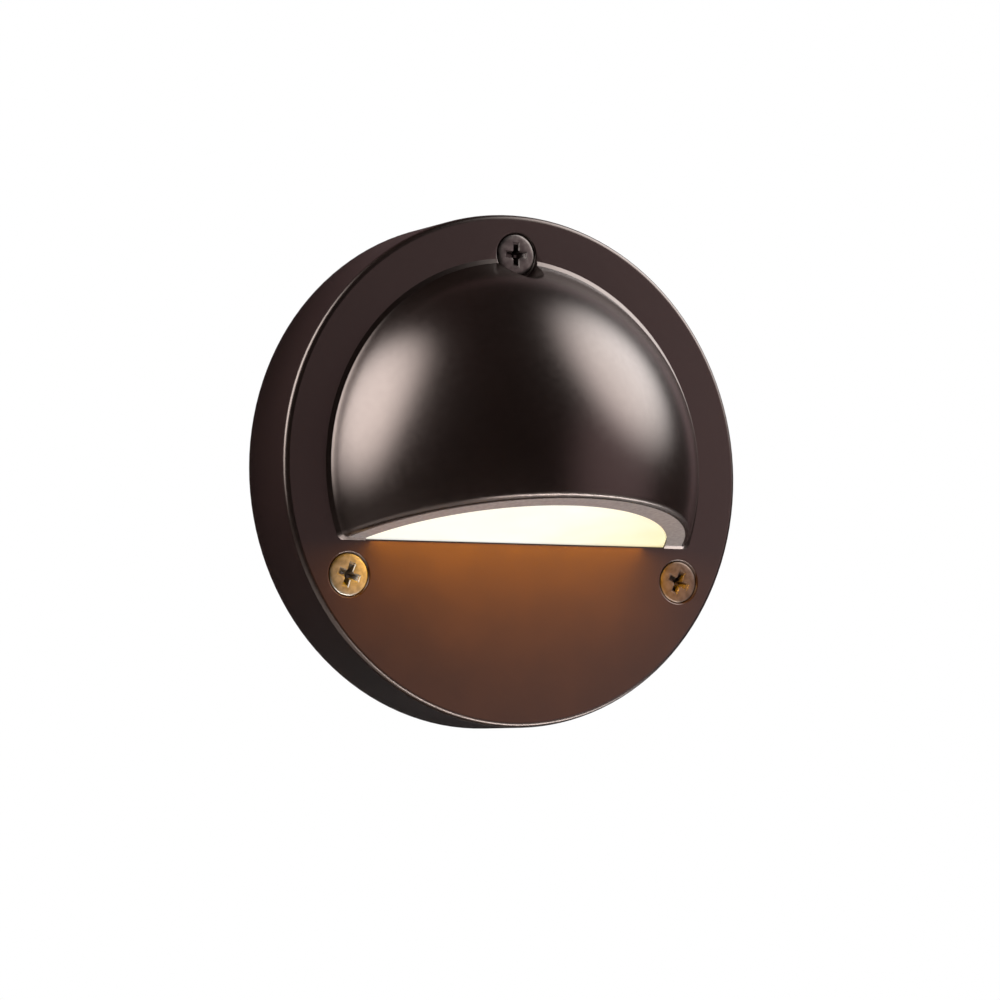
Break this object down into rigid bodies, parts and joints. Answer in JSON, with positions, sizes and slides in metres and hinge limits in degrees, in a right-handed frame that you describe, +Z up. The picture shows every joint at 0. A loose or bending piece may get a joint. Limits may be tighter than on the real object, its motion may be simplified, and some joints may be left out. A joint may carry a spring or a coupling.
{
  "type": "deck light",
  "caption": "Round surface-mounted deck light with a half-moon hood that throws light down from an opal LED lens, held by countersunk screws.",
  "frame": {"origin": "centre of the round footprint on the deck face, which is also the centre of the screw circle", "axes": "+Y into the deck, so the light faces -Y; +Z up, with the hood's mouth facing down; +X to the right for a viewer in front"},
  "size_m": [0.08, 0.0471, 0.08],
  "materials": {
    "bronze_paint": "satin dark bronze powder coat on cast aluminium",
    "opal_lens": "opal polycarbonate, lit warm white",
    "black_rubber": "matte black silicone rubber",
    "black_foam": "closed-cell foam",
    "aluminium_sheet": "plain rolled sheet",
    "zinc_steel": "zinc-plated steel",
    "bronzed_steel": "bronze-toned stainless steel",
    "thermal_silicone": "grey filled silicone",
    "white_board": "white solder mask",
    "led_phosphor": "phosphor-filled silicone",
    "green_board": "green solder mask",
    "ferrite": "ground ferrite",
    "black_moulding": "moulded epoxy",
    "ceramic": "fired ceramic",
    "black_insulation": "silicone wire insulation",
    "red_insulation": "silicone wire insulation"
  },
  "bodies": {
    "light": {"housing": "bronze_paint", "lens": "opal_lens", "lens_gasket": "black_rubber", "led_carrier": "aluminium_sheet", "carrier_screws": "zinc_steel", "thermal_pad": "thermal_silicone", "led_board": "white_board", "leds": "led_phosphor", "led_board_screws": "zinc_steel", "driver_board": "green_board", "inductor": "ferrite", "rectifier": "black_moulding", "capacitors": "ceramic", "driver_chip": "black_moulding", "driver_board_screws": "zinc_steel", "black_link_wire": "black_insulation", "red_link_wire": "red_insulation", "back_seal": "black_rubber", "back_plate": "aluminium_sheet", "back_plate_screws": "zinc_steel", "mounting_gasket": "black_foam", "cable_grommet": "black_rubber"},
    "top_screw": {"top_screw": "bronzed_steel"},
    "left_screw": {"left_screw": "bronzed_steel"},
    "right_screw": {"right_screw": "bronzed_steel"}
  },
  "joints": [
    {"name": "top_screw_travel", "type": "slide", "parent": "light", "child": "top_screw", "axis": [0, -1, 0], "range_m": [0, 0.022]},
    {"name": "left_screw_travel", "type": "slide", "parent": "light", "child": "left_screw", "axis": [0, -1, 0], "range_m": [0, 0.022]},
    {"name": "right_screw_travel", "type": "slide", "parent": "light", "child": "right_screw", "axis": [0, -1, 0], "range_m": [0, 0.022]}
  ]
}
